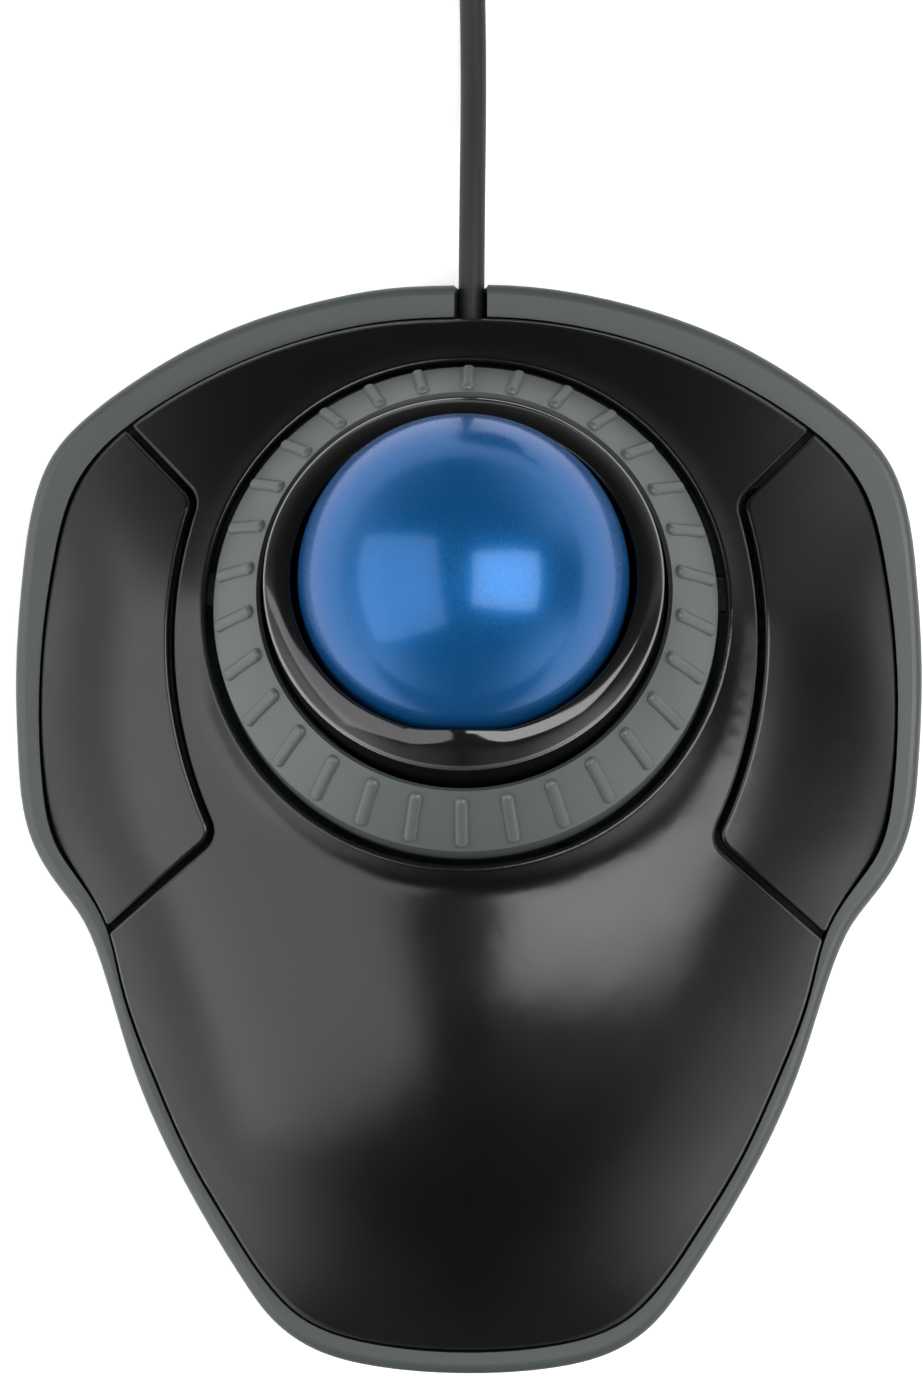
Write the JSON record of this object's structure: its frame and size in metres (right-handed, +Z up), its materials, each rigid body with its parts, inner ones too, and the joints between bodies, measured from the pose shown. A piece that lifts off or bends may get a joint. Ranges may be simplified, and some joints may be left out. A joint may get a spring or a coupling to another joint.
{
  "type": "trackball mouse",
  "caption": "Desktop trackball with a ball in a ribbed scroll ring, two side buttons, a sloping palm rest and a cable.",
  "frame": {"origin": "on the desk, under the middle of the body's plan", "axes": "+X to the user's right, +Y away from the user towards the cable end, +Z up"},
  "size_m": [0.1453, 0.2336, 0.0565],
  "materials": {
    "rim_grey": "satin",
    "ring_grey": "satin",
    "cover_black": "satin",
    "button_black": "satin",
    "collar_black": "gloss",
    "ball_blue": "polished metallic blue",
    "inner_black": "matte",
    "bearing": "polished",
    "board_green": "solder mask",
    "chip_black": "moulded epoxy",
    "switch_white": "matte",
    "tin": "plated",
    "lens_clear": "clear",
    "led_red": "clear red",
    "foot_rubber": "matte",
    "label_silver": "satin film",
    "cable_black": "satin",
    "screw_steel": "black zinc",
    "contact_gold": "gold plated"
  },
  "bodies": {
    "body": {"base_shell": "rim_grey", "top_cover": "cover_black", "ball_cup": "inner_black", "ball_collar": "collar_black", "support_bearing_1": "bearing", "support_bearing_2": "bearing", "support_bearing_3": "bearing", "main_board": "board_green", "sensor_chip": "chip_black", "sensor_lens": "lens_clear", "sensor_led": "led_red", "controller_chip": "chip_black", "clock_crystal": "tin", "capacitor": "tin", "cable_header": "switch_white", "encoder_emitter": "inner_black", "encoder_detector": "inner_black", "left_switch_body": "chip_black", "right_switch_body": "chip_black", "case_screws": "screw_steel", "cup_screws": "screw_steel", "board_screws": "screw_steel", "rating_label": "label_silver", "rear_left_foot": "foot_rubber", "rear_right_foot": "foot_rubber", "front_left_foot": "foot_rubber", "front_right_foot": "foot_rubber", "cable_grommet": "cable_black", "cable": "cable_black", "cable_coil": "cable_black", "cable_tie": "cable_black", "plug_body": "cable_black", "plug_shell": "tin", "plug_tongue": "switch_white", "plug_contacts": "contact_gold"},
    "ring": {"scroll_ring": "ring_grey", "ring_carrier": "inner_black"},
    "ball": {"ball": "ball_blue"},
    "left_button": {"left_button": "button_black"},
    "right_button": {"right_button": "button_black"},
    "left_plunger": {"left_switch_plunger": "switch_white"},
    "right_plunger": {"right_switch_plunger": "switch_white"}
  },
  "joints": [
    {"name": "ring_spin", "type": "hinge", "parent": "body", "child": "ring", "pos_m": [0, 0.03084, 0.0365], "axis": [0, 0.2639, 0.9646], "continuous": true},
    {"name": "ball_roll", "type": "hinge", "parent": "body", "child": "ball", "pos_m": [0, 0.03084, 0.0365], "axis": [1, 0, 0], "continuous": true},
    {"name": "left_button_press", "type": "hinge", "parent": "body", "child": "left_button", "pos_m": [-0.041, 0.041, 0.008], "axis": [1, 0, 0], "range_deg": [0, 0.9], "stiffness_Nm_per_rad": 1.5, "springref_deg": -1.15},
    {"name": "right_button_press", "type": "hinge", "parent": "body", "child": "right_button", "pos_m": [0.041, 0.041, 0.008], "axis": [1, 0, 0], "range_deg": [0, 0.9], "stiffness_Nm_per_rad": 1.5, "springref_deg": -1.15},
    {"name": "left_plunger_travel", "type": "slide", "parent": "body", "child": "left_plunger", "axis": [0, 0, -1], "range_m": [0, 0.00056]},
    {"name": "right_plunger_travel", "type": "slide", "parent": "body", "child": "right_plunger", "axis": [0, 0, -1], "range_m": [0, 0.00056]}
  ],
  "couplings": [
    {"joint": "left_plunger_travel", "follows": "left_button_press", "m_per_rad": 0.0345},
    {"joint": "right_plunger_travel", "follows": "right_button_press", "m_per_rad": 0.0345}
  ]
}
